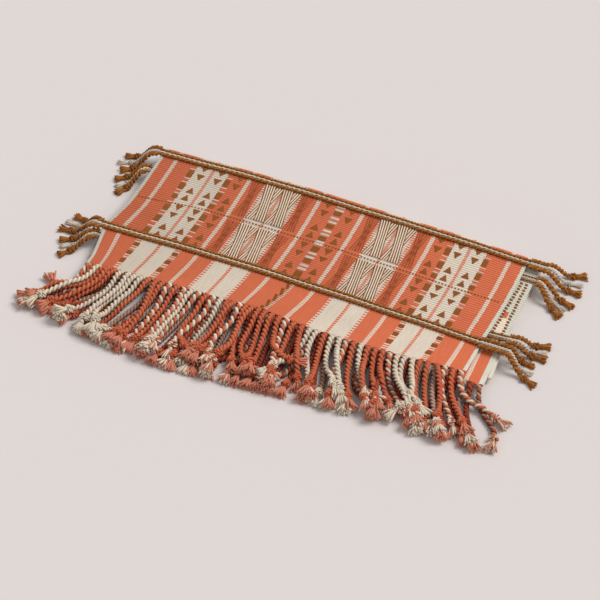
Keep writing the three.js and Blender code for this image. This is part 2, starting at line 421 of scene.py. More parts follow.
def lower_end_colour(shader, colour, u, along, patterned):
    """The lower end's pale strip, cream inset and coral patch, and where its mint shows."""
    lower = shader.attribute("lower").outputs["Fac"]
    inset = shader.product(shader.between(u, *INSET_ACROSS), shader.between(along, *INSET_ALONG))
    patch = shader.product(shader.between(u, *PATCH_ACROSS), shader.between(along, *PATCH_ALONG))
    outside = shader.math("SUBTRACT", 1.0, shader.math("MAXIMUM", inset, patch))
    past_start = shader.math("GREATER_THAN", u, LOWER_STRIP)
    strip = shader.product(past_start, patterned, outside, lower)
    colour = shader.mix(strip, colour, MINT)
    colour = shader.mix(shader.product(inset, lower), colour, BRIGHT_CREAM)
    selvedge = shader.product(shader.math("GREATER_THAN", u, LOWER_SELVEDGE), lower)
    colour = shader.mix(selvedge, colour, MINT)
    return colour, shader.math("MAXIMUM", strip, selvedge)


def cloth_material():
    """Handwoven cotton. Its weave attribute holds the place across, the place along from the
    nearer end, and 1 where that is patterned."""
    shader = Shader("woven_cotton", roughness=0.94, sheen=0.05)
    across, along, patterned = shader.split(shader.attribute("weave").outputs["Vector"])
    row = shader.math("FLOOR", shader.math("DIVIDE", along, RIB_PITCH))
    row_place = shader.vector(shader.product(across, 0.35), shader.product(row, 7.3), 0.0)
    row_noise = shader.math("SUBTRACT", shader.noise(row_place, 1.0, 0.0), 0.5)
    ragged = shader.product(row_noise, shader.math("MULTIPLY_ADD", patterned, 0.8, 0.35))
    u = shader.math("ABSOLUTE", across)
    colour, mint = stripes_colour(shader, u, along, patterned, ragged)
    colour, lower_mint = lower_end_colour(shader, colour, u, along, patterned)
    speckle_noise = shader.noise(shader.vector(across, along, 0.0), 0.9, 1.0)
    speckle = shader.product(shader.math("MAXIMUM", mint, lower_mint),
                             shader.math("GREATER_THAN", speckle_noise, 0.5))
    colour = shader.mix(shader.product(speckle, 0.8), colour, CREAM)

    # Threads show across the cloth where it is patterned, and along it where it is plain.
    weft_place = shader.vector(shader.product(across, 0.09), shader.product(along, 0.9), 0.0)
    warp_place = shader.vector(shader.product(across, 1.1), shader.product(along, 0.08), 4.0)
    plain = shader.math("SUBTRACT", 1.0, patterned)
    streak = shader.math("ADD", shader.product(shader.noise(weft_place, 1.3, 3.0), patterned),
                         shader.product(shader.noise(warp_place, 1.3, 3.0), plain))
    cloud = shader.noise(shader.vector(across, along, 9.0), 0.03, 2.0)
    # Painted shade: the colour darkens in the grooves between the ribs, and level lifts the colour above
    # 1, more where it is patterned, to make up for it.
    rib_wave = shader.math("COSINE", shader.product(along, 2 * math.pi / RIB_PITCH))
    rib = shader.product(shader.math("MULTIPLY_ADD", rib_wave, 0.5, 0.5), patterned)
    level = shader.math("MULTIPLY_ADD", patterned, 0.15, 1.11)
    ribs = shader.math("MULTIPLY_ADD", rib, -0.5, level)
    # Painted light: the cloth's colour is a little darker towards its left side, as if less light fell
    # there.
    painted_light_falloff = shader.math("MULTIPLY_ADD", across, 0.0007, 0.99)
    shade = shader.product(shader.around_one(streak, 0.44), shader.around_one(cloud, 0.2),
                           ribs, painted_light_falloff)
    threads = shader.math("SINE", shader.product(across, 2 * math.pi / THREAD_PITCH))
    height = shader.math("MULTIPLY_ADD", threads, 0.12, streak)
    return shader.finish(shader.shaded(colour, shade), height, CLOTH_BUMP)


yarn = yarn_material("twisted_cotton")


# ---- The tails: free cords ----

def settle(y):
    return 1 - SETTLE_SHARE * smooth(0, SETTLE_LENGTH, SETTLE_START_Y - y)


def layer_height(layer):
    lift = BAND_ROOM if layer == 1 else 0
    return CLOTH_THICKNESS / 2 + (LAYERS - layer) * LAYER_PITCH + lift


def cad_slip(layer, y):
    front = END_Y if layer <= 2 else FRONT_FOLD_Y
    share = np.clip((BACK_FOLD_Y - y) / (BACK_FOLD_Y - front), 0, 1)
    return BACK_SLIP[layer] + share * (FRONT_SLIP[layer] - BACK_SLIP[layer])


def reach_of(layers, band, side):
    """How far the given layers' selvedges reach beyond the cloth's half width."""
    return max(side * cad_slip(layer, band["y"]) for layer in layers)


def band_end(band, side, shift):
    """Where a band's row ends, past its own selvedge and the one above it."""
    reach = reach_of([1] if band["layer"] == 1 else [1, 2], band, side)
    x = side * (HALF_WIDTH + ROW_OVERHANG + reach)
    y = band["y"] + band["skew"] * x + shift
    top_face = (layer_height(band["layer"]) + CLOTH_THICKNESS / 2) * settle(y)
    return np.array([x, y, top_face + TOUCH_GAP + ROW_RADIUS[band["layer"]]])


def tail_route(band, start, side, angle, length, radius):
    """Level and straight past the selvedges below it, then aside, and down onto the table."""
    turn = math.radians(angle)
    clear = HALF_WIDTH + ROW_OVERHANG + reach_of([1, 2, 3, 4], band, side)
    lead_length = max(clear - side * start[0], 0) + TAIL_LEAD
    lead = start + [side * lead_length, 0, 0]
    route = [start, lead]
    for share in TAIL_SHARES:
        reach = (length - lead_length) * share
        sunk = smooth(*TAIL_SINK, share)
        route.append([
            lead[0] + side * math.cos(turn) * reach,
            lead[1] + math.sin(turn) * reach,
            start[2] + (radius + 0.1 - start[2]) * sunk,
        ])
    return route


def frame_at(path, distance):
    """A point of the path, and its directions along, sideways and up."""
    along = distances(path)
    point, ahead = (
        np.array([np.interp(d, along, path[:, k]) for k in range(3)])
        for d in (distance, distance + 0.5)
    )
    if distance + 0.5 > along[-1]:
        point, ahead = path[-1], 2 * path[-1] - path[-2]
    tangent = unit(ahead - point)
    side = unit(np.cross(tangent, UP))
    return point, tangent, side, np.cross(side, tangent)


KNOT_WRAPS = ((2.1, 0.3, 1.0), (0.75, 3.4, 1.35))   # turns, the angle they start at, how far out


def add_knot(pile, path, at, radius, tint_a, tint_b):
    """An overhand knot: the cord wraps itself, and one turn crosses the wraps."""
    point, tangent, side, normal = frame_at(path, at)
    strand = 0.56 * radius
    for turns, start, lift in KNOT_WRAPS:
        t = np.linspace(0, 1, round(16 * turns) + 6)[:, None]
        turn = start + 2 * math.pi * turns * t
        out = np.cos(turn) * side + np.sin(turn) * normal
        reach = (0.62 * radius + strand * lift) * np.sin(math.pi * (0.12 + 0.76 * t)) ** 0.5
        wrap = point + tangent * (t - 0.5) * 2.3 * radius + out * reach
        wrap[:, 2] = np.maximum(wrap[:, 2], 1.2 * strand)
        along = distances(wrap)
        rings = sweep(wrap, rope_sections(along, strand * 1.15, 6.0), up=out)
        pile.add(rings, along, tint_a, tint_b)


def add_tuft(pile, path, start, length, radius, tint_a, tint_b, strands, fan=1.0):
    """The cord's cut end, teased open into a brush of loose yarns."""
    point, tangent, side, normal = frame_at(path, start)
    for number in range(strands):
        ring = 0.55 if number % 3 == 0 else 1.0
        turn = 2.4 * number + rng.uniform(-0.3, 0.3)
        flare = fan * ring * radius * rng.uniform(0.8, 1.75)
        reach = length * rng.uniform(0.86, 1.06)
        t = np.linspace(0, 1, 6)[:, None]
        out = math.cos(turn) * side + 0.62 * math.sin(turn) * normal
        spread = 0.4 * radius * ring + flare * t**1.3 * (1 + 0.15 * rng.uniform(-1, 1) * t)
        strand = point + tangent * reach * t + out * spread
        strand[:, 2] -= (0.8 * t[:, 0]) ** 2 * radius * 0.5
        thick = 0.27 * radius
        strand[:, 2] = np.maximum(strand[:, 2], 1.15 * thick)
        sections = round_sections(thick * np.array([1.0, 1.0, 1.05, 1.1, 1.15, 0.8]), 5)
        colour = tint_a if number % 2 else tint_b
        pile.add(sweep(strand, sections), distances(strand), colour)


def tint(colour, amount=0.07):
    """The colour, a little lighter or darker and warmer or cooler, as hand-dyed yarn is."""
    light = 1 + rng.uniform(-amount, amount)
    return tuple(channel * light * (1 + rng.uniform(-0.4, 0.4) * amount) for channel in colour)


TAIL_STEP = 0.6
TAIL_TWIST = {"brown": 8.5, "cream": 6.5}
TAIL_WIDTH, TAIL_HEIGHT = 1.36, 0.98     # a tail lies a little flattened
TAIL_PLY_OFFSET = 0.7
TAIL_TUFT_LENGTH = 11
KNOT_INSET = 9.0  # from a tail's end back to the middle of its knot


def make_tail(band, side, number):
    row, colour = ROWS[number]
    where = "left" if side < 0 else "right"
    radius = TAIL_RADIUS[colour]
    angle, length = band[where][number]
    start = band_end(band, side, (1 - number) * TAIL_SPREAD) + [side * 2 * TOUCH_GAP, 0, 0]
    path = smooth_route(tail_route(band, start, side, angle, length, radius), TAIL_STEP)
    along = distances(path)
    first = tint(CREAM if colour == "cream" else BROWN)
    second = tint(CREAM if colour == "cream" else FIGURE_BROWN)
    cord = Pile()
    sections = rope_sections(along, radius, TAIL_TWIST[colour], TAIL_WIDTH, TAIL_HEIGHT, TAIL_PLY_OFFSET)
    cord.add(sweep(path, sections), along, first, second)
    name = f"{band['name']}_{where}_{row}"
    piece = cord.make("cord_" + name, yarn, f"band_{colour}")
    end = Pile()
    add_knot(end, path, along[-1] - KNOT_INSET, radius * 1.05, first, second)
    tuft_start = along[-1] - KNOT_INSET + 2
    add_tuft(end, path, tuft_start, TAIL_TUFT_LENGTH, 1.1 * radius, first, second, 20)
    knot = end.make("knot_" + name, yarn, f"band_{colour}")
    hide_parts(f"{band['name']}_{where}_tail_{row}")


for band in BANDS:
    for side in (-1, 1):
        for number in range(len(ROWS)):
            make_tail(band, side, number)


# ---- The cloth ----

BAND_FRONT = next(b["y"] for b in BANDS if b["name"] == "upper_front")
BAND_BACK = next(b["y"] for b in BANDS if b["name"] == "upper_back")
BOW = 4.5
WAVE = 0.35
FRONT_EDGE = ((-190, -3), (-140, -0.5), (-60, 1.5), (0, 5), (55, 1), (100, 2), (135, 5), (190, 12))
SHEAR_REACH = 1.15   # how much of the plain end's lean the top layer takes up by its last pick
SIDE_BULGE = 1.6     # how far the top layer shifts halfway between its bands
LEFT_TUCK, LEFT_FLARE = 4, 11   # its left selvedge goes out, then in again beside the fringe
LEAN = 5             # how far the plain end leans to the left
LEAN_SWELLS = ((6.5, 5, 38), (3.5, -110, 45))   # how much further, and where across, and how widely


def bow(u):
    """The bands bow backwards between the selvedges."""
    t = np.clip((u + HALF_WIDTH) / CLOTH_WIDTH, 0, 1)
    return BOW * np.sin(math.pi * t**0.85)


def wave(u, y):
    return WAVE * (np.sin(u / 31 + 0.6) * np.cos(y / 27) + 0.6 * np.sin(u / 13 + y / 19))


def front_shear(u):
    """How far the plain end leans to the left by its front edge, across the cloth."""
    lean = LEAN
    for reach, middle, width in LEAN_SWELLS:
        lean = lean + reach * np.exp(-(((u - middle) / width) ** 2))
    return -lean * (1 - 0.8 * smooth(150, 188, u))


def front_edge(u):
    across, rise = zip(*FRONT_EDGE)
    return np.interp(u, across, rise)


def layer_point(layer, u, y0, z0):
    """Where a point of a layer lies: u across it, and (y0, z0) in its unshifted section."""
    u, y0, z0 = np.broadcast_arrays(u, y0, z0)
    if layer == 1:
        past_band = np.clip((BAND_FRONT - y0) / (BAND_FRONT - END_Y), 0, 1.2)
        between_bands = np.clip((BAND_BACK - y0) / (BAND_BACK - BAND_FRONT), 0, 1)
        x = u + front_shear(u) * smooth(BAND_FRONT, END_Y - 14, y0) * SHEAR_REACH
        x = x + SIDE_BULGE * np.sin(math.pi * between_bands)
        x = x - LEFT_TUCK * smooth(-120, -185, u) * smooth(0, BAND_FRONT, y0)
        x = x + LEFT_FLARE * smooth(-145, -190, u) * smooth(BAND_FRONT + 4, END_Y, y0)
        y = y0 + bow(u) + front_edge(u) * past_band**1.4
    else:
        turned = np.clip((BACK_FOLD_Y - y0) / (BACK_FOLD_Y - END_Y), 0, 1) if layer == 2 else 0
        bowed = 0.4 + 0.6 * smooth(FRONT_FOLD_Y, BACK_FOLD_Y, y0)
        x = u + cad_slip(layer, y0)
        y = y0 + LOWER_END_SKEW * turned * u + bow(u) * bowed
    z = z0 * settle(y0) + wave(u, y0) * z0 / layer_height(1)
    return np.stack([x, y, np.maximum(z, 0.02)], axis=-1)


def on_face(layer, u, y0, above):
    """A point that far above a layer's upper face."""
    point = layer_point(layer, u, y0, layer_height(layer) + CLOTH_THICKNESS / 2)
    point[..., 2] += above
    return point


FINE_STEP, COARSE_STEP = 0.4125, 2.6   # along the cloth, on the ribbed top layer and elsewhere
RIB_RELIEF = 0.17
CREASE_ANGLE = math.radians(50)
CLOTH_COLUMNS = 44


def cloth_section():
    """The cloth's mid-line in its unshifted section, as arrays of y, z and layer."""
    stations = []
    for number, layer in enumerate(LAYER_ROUTE):
        front = END_Y if layer <= 2 else FRONT_FOLD_Y
        step = FINE_STEP if layer == 1 else COARSE_STEP
        ys = np.linspace(front, BACK_FOLD_Y, round((BACK_FOLD_Y - front) / step) + 1)
        towards_back = number % 2 == 0
        for y in ys if towards_back else ys[::-1]:
            stations.append((y, layer_height(layer), layer))
        if number + 1 < LAYERS:
            start, end = layer_height(layer), layer_height(LAYER_ROUTE[number + 1])
            radius = abs(start - end) / 2
            fold = BACK_FOLD_Y if towards_back else FRONT_FOLD_Y
            out = 1 if towards_back else -1
            steps = 10 if radius < LAYER_PITCH else 16
            for i in range(1, steps):
                turn = math.pi * i / steps
                stations.append((fold + out * radius * math.sin(turn),
                                 (start + end) / 2 + (start - end) / 2 * math.cos(turn), layer))
    return np.array(stations)


def fold_point(layer, u, y0, z0, y):
    """A point of the cloth, where a fold keeps the shifts of the place where it starts."""
    inside = np.clip(y, FRONT_FOLD_Y if layer > 2 else END_Y, BACK_FOLD_Y)
    point = layer_point(layer, u, inside, z0)
    point[..., 1] += y0 - inside
    return point


def make_cloth():
    stations = cloth_section()
    line = stations[:, :2]
    tangent = unit(np.gradient(line, axis=0))
    normal = np.stack([-tangent[:, 1], tangent[:, 0]], axis=1)
    along = distances(np.column_stack([line, np.zeros(len(line))]))
    woven_length = along[-1]
    from_end = np.minimum(along, woven_length - along)
    first, last = BAND_FRONT - END_Y, BAND_BACK - END_Y
    patterned = ((from_end > first) & (from_end < last)).astype(float)
    u = np.linspace(-HALF_WIDTH, HALF_WIDTH, CLOTH_COLUMNS + 1)
    around = np.concatenate([u, u[::-1]])
    sides = np.concatenate([np.ones(len(u)), -np.ones(len(u))])
    relief = RIB_RELIEF * patterned * np.cos(2 * math.pi * from_end / RIB_PITCH)
    rings = np.empty((len(stations), len(around), 3))
    for i, (y, z, layer) in enumerate(stations):
        reach = CLOTH_THICKNESS / 2 + (relief[i] if layer == 1 else 0)
        y0 = y + normal[i, 0] * reach * sides
        z0 = z + normal[i, 1] * reach * sides
        rings[i] = fold_point(int(layer), around, y0, z0, y)
    count, size = rings.shape[:2]
    index = np.arange(count * size).reshape(count, size)
    near, far = index[:-1], index[1:]
    quads = np.stack([near, np.roll(near, -1, 1), np.roll(far, -1, 1), far], -1).reshape(-1, 4)
    caps = [index[0][::-1].tolist(), index[-1].tolist()]
    mesh = bpy.data.meshes.new("runner_cloth")
    mesh.from_pydata((rings.reshape(-1, 3) * MM).tolist(), [], quads.tolist() + caps)
    weave = np.empty((count, size, 3))
    weave[..., 0], weave[..., 1], weave[..., 2] = around, from_end[:, None], patterned[:, None]
    give(mesh, "weave", "FLOAT_VECTOR", "vector", weave.reshape(-1, 3))
    give(mesh, "lower", "FLOAT", "value", np.repeat(stations[:, 2] == 2, size))
    piece = place("runner_cloth", mesh, cloth_material(), "woven_cloth")
    mesh.set_sharp_from_angle(angle=CREASE_ANGLE)
    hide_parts("woven_cloth")
    return piece, woven_length


cloth, woven_length = make_cloth()


# ---- Woven-in figures ----

FLOAT_SIDES = 7


def add_float(pile, u0, u1, y, width, height, colour, layer=1):
    """One pass of figure yarn over the ribs, from u0 to u1 across the cloth."""
    t = np.array([0.0, 0.06, 0.2, 0.5, 0.8, 0.94, 1.0])
    path = on_face(layer, u0 + (u1 - u0) * t, y, 0.12)
    scale = np.array([0.35, 0.8, 1.0, 1.0, 1.0, 0.8, 0.35])
    sections = round_sections(scale * width / 2, FLOAT_SIDES, 2 * height / width)
    pile.add(sweep(path, sections), u0 + (u1 - u0) * t, colour)


def figure_y(distance):
    """Y of a place that far in front of the back band."""
    return BAND_BACK - distance


# Distances are in front of the back band. A triangle has its start, its rows, and 1 where it widens
# towards the front or -1 where it narrows. A square has its start and its end.
TRIANGLES = ((3.4, 4, -1), (15, 5, -1), (35.8, 5, 1), (47.4, 5, 1),
             (62.8, 5, -1), (75.2, 4, -1), (92.3, 5, 1), (104.0, 5, 1))
TRIANGLE_COLUMNS = (12.4, 104.5, 124.7, 142.4)
TRIANGLE_WIDTH = 8.2
OUTER_SQUARES = ((12.6, 22.4), (32.4, 40.6), (50.2, 55.9), (65.6, 74.4), (83.4, 91.4), (102.0, 111.0))
CENTRE_SQUARES = ((11.0, 17.2), (30.6, 36.8), (49.2, 55.4), (64.8, 71.2), (82.6, 88.6), (100.8, 110.0))
OUTER_TICKS = (10.2, 24.6, 30.4, 43.3, 48.2, 62.0, 76.6, 81.4, 93.4, 99.4)
CENTRE_TICKS = (4.2, 9.4, 21.6, 27.6, 41.0, 46.4, 57.6, 60.9, 75.0, 80.6, 92.6, 97.8)
END_REACH = BAND_FRONT - END_Y
PLAIN_SQUARES = (8.5, 19.5, 31.0)  # distances in front of the front band
PLAIN_SQUARE_LENGTH = 4.8
OVERLAP = 1.12   # a block's floats are that much wider than their pitch


def add_block(pile, u, half, start, end, colour, ragged=0.25):
    """Rows of floats side by side, which fill a block of the cloth."""
    rows = max(1, round((end - start) / PICK_PITCH))
    pitch = (end - start) / rows
    for k in range(rows):
        y = figure_y(start + (k + 0.5) * pitch)
        left, right = rng.uniform(-ragged, ragged, 2)
        add_float(pile, u - half + left, u + half + right, y, pitch * OVERLAP, 0.34, tint(colour))


def add_triangle(pile, u, start, rows, widening):
    """A stepped triangle, a float to a row."""
    for k in range(rows):
        share = (k + 0.75) / rows if widening > 0 else (rows - k - 0.25) / rows
        half = TRIANGLE_WIDTH / 2 * share
        y = figure_y(start + (k + 0.5) * PICK_PITCH)
        left, right = rng.uniform(-0.25, 0.25, 2)
        width = PICK_PITCH * OVERLAP
        add_float(pile, u - half + left, u + half + right, y, width, 0.4, tint(FIGURE_BROWN))


def make_figures():
    brown, cream = Pile(), Pile()
    for column in TRIANGLE_COLUMNS:
        for side in (-1, 1):
            for start, rows, widening in TRIANGLES:
                add_triangle(brown, side * column, start, rows, widening)
    for low, high in TICK_COLUMNS:
        for side in (-1, 1):
            middle, half = side * (low + high) / 2, (high - low) / 2 - 0.1
            for start, end in OUTER_SQUARES:
                add_block(brown, middle, half, start, end, FIGURE_BROWN)
            for distance in OUTER_TICKS:
                left, right = middle - half - 0.7, middle + half + 0.7
                add_float(cream, left, right, figure_y(distance), 1.4, 0.4, tint(CREAM))
            for distance in PLAIN_SQUARES:
                start = BAND_BACK - BAND_FRONT + distance
                add_block(brown, middle, half, start, start + PLAIN_SQUARE_LENGTH, FIGURE_BROWN)
    for start, end in CENTRE_SQUARES:
        add_block(brown, 0, 3.75, start, end, FIGURE_BROWN)
    for distance in CENTRE_TICKS:
        for shift in (-0.75, 0.75):
            add_float(cream, -4.8, 4.8, figure_y(distance + shift), 1.6, 0.38, tint(CREAM))
    first = BAND_BACK - BAND_FRONT
    for k, distance in enumerate(np.arange(2.4, END_REACH - 1, 2.5)):
        add_float(cream, 0.9, 4.1, figure_y(first + distance), 1.4, 0.4, tint(CREAM))
        lean = k % 4
        y = figure_y(first + distance + 0.6)
        add_float(brown, -4.4 + lean, -1.2 + lean, y, 2.3, 0.4, tint(FIGURE_BROWN))
    return brown, cream


def add_line(pile, us, y0, y1, radius, bead, colour, above):
    """A slanting warp line, tied down at each rib."""
    t = np.linspace(0, 1, len(us))
    along = t * abs(y1 - y0)
    path = on_face(1, us, y0 + (y1 - y0) * t, above)
    radii = radius * (1 - bead * (0.5 - 0.5 * np.cos(2 * math.pi * along / PICK_PITCH)))
    pile.add(sweep(path, round_sections(radii, 6, 0.8)), along, colour)


CROSSINGS = ((4.0, 54.6), (63.6, 112.0))     # where each pair of crossing figures starts and ends
CREAM_CROSS_COLUMNS = (50.9, 69.1)           # middles of the half-columns
BROWN_CROSS_COLUMNS = (34.8, 86.0)
CROSS_LEAN = 4.3        # how far a group's middle leans from its column's, at each end
CROSS_SPACING = (2.6, 2.2)   # from line to line in a group: at its ends, and halfway
BROWN_CROSS_LEAN = 3.1
BROWN_CROSS_SPACING = (2.5, 2.1)
LINE_STEPS = 90


def fan_line(column, lean, spacing, place):
    """Across positions of one line in a group that narrows halfway. place is 0 for the middle one."""
    t = np.linspace(0, 1, LINE_STEPS)
    wide = np.abs(2 * t - 1) ** 1.3
    return column + lean * (2 * t - 1) + place * (spacing[1] + (spacing[0] - spacing[1]) * wide)


def make_crossings(brown, cream):
    for side in (-1, 1):
        for start, end in CROSSINGS:
            y0, y1 = figure_y(start), figure_y(end)
            for column in CREAM_CROSS_COLUMNS:
                for lean in (-CROSS_LEAN, CROSS_LEAN):
                    above = 0.2 if lean < 0 else 0.75
                    for place in (-1.5, -0.5, 0.5, 1.5):
                        us = fan_line(side * column, lean, CROSS_SPACING, place)
                        add_line(cream, us, y0, y1, 0.74, 0.1, tint(BRIGHT_CREAM), above)
                    for place in (-2, -1, 0, 1, 2):
                        us = fan_line(side * column, lean, CROSS_SPACING, place)
                        add_line(brown, us, y0, y1, 0.52, 0.5, tint(FIGURE_BROWN), above)
            for column in BROWN_CROSS_COLUMNS:
                for lean in (-BROWN_CROSS_LEAN, BROWN_CROSS_LEAN):
                    above = 0.2 if lean < 0 else 0.55
                    for place in (-1, 0, 1):
                        us = fan_line(side * column, lean, BROWN_CROSS_SPACING, place)
                        add_line(brown, us, y0, y1, 0.58, 0.5, tint(LINE_RED), above)
            for column in CREAM_CROSS_COLUMNS:
                for near, step in ((start + 1.2, 1), (end - 1.2, -1)):
                    for k in range(4):
                        half = 2.0 - 0.5 * k
                        y = figure_y(near + step * 1.5 * k)
                        middle = side * column
                        add_float(brown, middle - half, middle + half, y, 1.5, 0.9, tint(FIGURE_BROWN))


DOT_PITCH = 3.3
DOT_DISTANCE = 59.6


def make_dotted_pick(brown):
    """A pick of dark dots across the middle, further forward towards the left selvedge."""
    for u in np.arange(-184, 185, DOT_PITCH):
        distance = DOT_DISTANCE + 6 * smooth(-110, -185, u)
        add_float(brown, u - 0.9, u + 0.9, figure_y(distance), 1.5, 0.5, tint(FIGURE_BROWN, 0.2))


def make_lower_ticks(brown):
    """Columns of ticks beside the second layer's right selvedge, which shows past the top layer."""
    for column in LOWER_TICK_COLUMNS:
        for y in np.arange(BAND_FRONT + 8, BAND_BACK - 22, 4.2):
            u = np.interp(y, (BAND_FRONT, BAND_BACK), column)
            shift = rng.uniform(-0.3, 0.3)
            for k in range(2):
                middle = u + shift + 0.5 * k
                add_float(brown, middle - 1.5, middle + 1.5, y - 1.3 * k, 1.4, 0.3,
                          tint(FIGURE_BROWN), layer=2)


brown_yarn_pile, cream_yarn_pile = make_figures()
make_dotted_pick(brown_yarn_pile)
make_lower_ticks(brown_yarn_pile)
figures_brown = brown_yarn_pile.make("woven_figures_brown", yarn, "band_brown")
figures_cream = cream_yarn_pile.make("woven_figures_cream", yarn, "band_cream")
brown_lines, cream_lines = Pile(), Pile()
make_crossings(brown_lines, cream_lines)
lines_brown = brown_lines.make("crossing_lines_brown", yarn, "band_brown")
lines_cream = cream_lines.make("crossing_lines_cream", yarn, "band_cream")
with_cloth = [figures_brown, figures_cream, lines_brown, lines_cream]


# ---- The twined bands ----

SHOWN_ROW = {"brown": (1.9, 6.2), "cream": (1.2, 10.5)}  # radius and twist pitch on the top layer
SHOWN_ROW_PITCH = 2.85
ROW_MARGIN = 6


def make_row(band, number):
    row, colour = ROWS[number]
    shown = band["layer"] == 1
    radius, pitch = SHOWN_ROW[colour] if shown else (ROW_RADIUS[2], 6.2)
    step = 0.7 if shown else 1.4
    spread = (1 - number) * (SHOWN_ROW_PITCH if shown else ROW_PITCH)
    ends = [band_end(band, side, (1 - number) * ROW_PITCH) for side in (-1, 1)]
    u = np.linspace(-HALF_WIDTH + ROW_MARGIN, HALF_WIDTH - ROW_MARGIN, 90)
    if shown:
        lift = 0.8 if colour == "cream" else 0.0
        middle = on_face(1, u, band["y"] + spread, radius * 0.72 + lift)
    else:
        t = ((u - ends[0][0]) / (ends[1][0] - ends[0][0]))[:, None]
        middle = ends[0] + (ends[1] - ends[0]) * t
        middle[:, 1] += bow(u) * 0.9
    path = smooth_route([ends[0], *middle[::3], ends[1]], step)
    along = distances(path)
    pile = Pile()
    first = FIGURE_BROWN if colour == "brown" else BRIGHT_CREAM
    second = BROWN if colour == "brown" else tuple(0.95 * c for c in BRIGHT_CREAM)
    pile.add(sweep(path, rope_sections(along, radius, pitch)), along, first, second)
    piece = pile.make(f"twined_row_{band['name']}_{row}", yarn, f"band_{colour}")
    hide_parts(f"{band['name']}_band_{row}")
    return piece


with_cloth += [make_row(band, number) for band in BANDS for number in range(len(ROWS))]


# ---- The fringes ----

CORD_RADIUS = 2.9
CORD_TWIST = 9.0
CORD_PLY_OFFSET = 0.54
CORD_STEP = 1.0
CORD_LENGTH = 73   # to the knot's far side
LONG_CORDS = (10, -85, 75)   # how much longer they get, and where across, and how widely
TUFT_LENGTH = 12
FLOOR_HEIGHT = 3.05
NESTLE = 4.7       # how close two touching cords' middles come, as their plies bed into each other
DEEP_SHADE = (0.68, 0.84, 0.89)    # how much of each colour the painted shade takes on a cord's underside
FLOOR_SHADE = (0.36, 0.50, 0.56)   # and how much the painted shade takes deep in the fringe, beside the table
STACK_TOP = 16.5   # the highest that a cord's middle is pushed by those under it
CURL_SHARE = 0.09  # how many of the cords curl aside at their ends
CURL = (0.9, 1.9)  # and by how much, in radians
WANDER = {"start": 0.06, "end": 0.15, "swing": 0.10, "lean": 0.09}   # typical turns, in radians
MIXED_SHARE = 0.24  # how many of the cords have a coral ply in place of their stripe's colour
KNOT_RISE, TUFT_DROP, END_DROP = 1.3, 1.8, 4.5
FAN = (            # across, and the cords' direction there in degrees from straight ahead
    (-190, -34), (-168, -22), (-140, -11), (-95, -2), (0, 10), (90, 20), (160, 26), (180, 33), (187, 54),
)
FRINGES = (        # drop is how far from its root a cord comes down, and light multiplies its colour: painted shade that darkens the lower fringe, which shows in the gaps under the upper one
    {"name": "lower_fringe", "layer": 2, "drop": 13, "seed": 5, "turn": -5, "light": (0.66, 0.50, 0.46)},
    {"name": "upper_fringe", "layer": 1, "drop": 26, "seed": 8, "turn": 0, "light": (1, 1, 1)},
)


def fringe_colour(u):
    """The colour of the ground's stripe that far across, as its yarns go on into the fringe."""
    colour = [stripe for start, stripe in GROUND_STRIPES if abs(u) >= start][-1]
    return BRIGHT_CREAM if colour in (CREAM, MINT) else colour


def fringe_root(fringe, u):
    return layer_point(fringe["layer"], u, END_Y + 1.6, layer_height(fringe["layer"]) + 0.3)


def cord_length(u):
    """From a cord's root to its knot's far side: longest a little left of the middle."""
    extra, middle, width = LONG_CORDS
    return CORD_LENGTH + extra * math.exp(-(((u - middle) / width) ** 2))


def fringe_plan(fringe, number, luck, lean):
    """A cord's route in plan, and its root's height."""
    u = -HALF_WIDTH + CLOTH_WIDTH / CORDS_PER_END * (number + 0.5)
    root = fringe_root(fringe, u)
    fan = math.radians(np.interp(u, *zip(*FAN)) + fringe["turn"])
    s = np.arange(0, cord_length(u) + TUFT_LENGTH, CORD_STEP)
    t = s / s[-1]
    turn = fan * (0.35 + 0.95 * smooth(0, 0.6, t)) + lean * smooth(0, 0.5, t)
    turn = turn + luck.normal(0, WANDER["start"]) + luck.normal(0, WANDER["end"]) * t
    swing, waves, start = luck.normal(0, WANDER["swing"]), luck.uniform(0.6, 1.2), luck.uniform(0, 6)
    turn = turn + swing * np.sin(2 * math.pi * t * waves + start)
    if luck.uniform() < CURL_SHARE:
        turn = turn + luck.choice([-1, 1]) * luck.uniform(*CURL) * smooth(0.35, 1.0, t)
    turn[s < 4] = turn[s < 4] * 0.4
    x = root[0] + np.cumsum(np.sin(turn)) * CORD_STEP
    y = root[1] - np.cumsum(np.cos(turn)) * CORD_STEP
    return u, s, x, y, root[2]


def lay_cord(s, x, y, root_height, drop, laid, length):
    """The heights of a cord that comes down from its root over the cords already laid."""
    least = np.full(len(s), FLOOR_HEIGHT) + KNOT_RISE * smooth(length - 10, length - 5, s)
    least -= TUFT_DROP * smooth(length, length + 8, s)
    top = STACK_TOP - END_DROP * smooth(length - 45, length, s)
    if len(laid):
        near = laid[(laid[:, 0] > x.min() - NESTLE) & (laid[:, 0] < x.max() + NESTLE)]
        gap = (x[:, None] - near[:, 0]) ** 2 + (y[:, None] - near[:, 1]) ** 2
        over = near[:, 2] + np.sqrt(np.maximum(NESTLE**2 - gap, 0))
        over = np.where(gap < NESTLE**2, over, -1)
        far = s > 5
        least[far] = np.maximum(least, np.minimum(over.max(axis=1, initial=-1), top))[far]
    hang = FLOOR_HEIGHT + (root_height - FLOOR_HEIGHT) * (1 - smooth(2.5, drop, s))
    hang = hang + 0.8 * np.exp(-(((s - 3) / 3) ** 2))
    floor = np.maximum(least, hang)
    z = floor.copy()
    for _ in range(40):
        middle = (z[:-2] + z[2:]) / 2
        z[1:-1] = np.maximum(floor[1:-1], middle)
        z[-1] = max(floor[-1], z[-2] - 0.1)
    z[0] = root_height
    return z


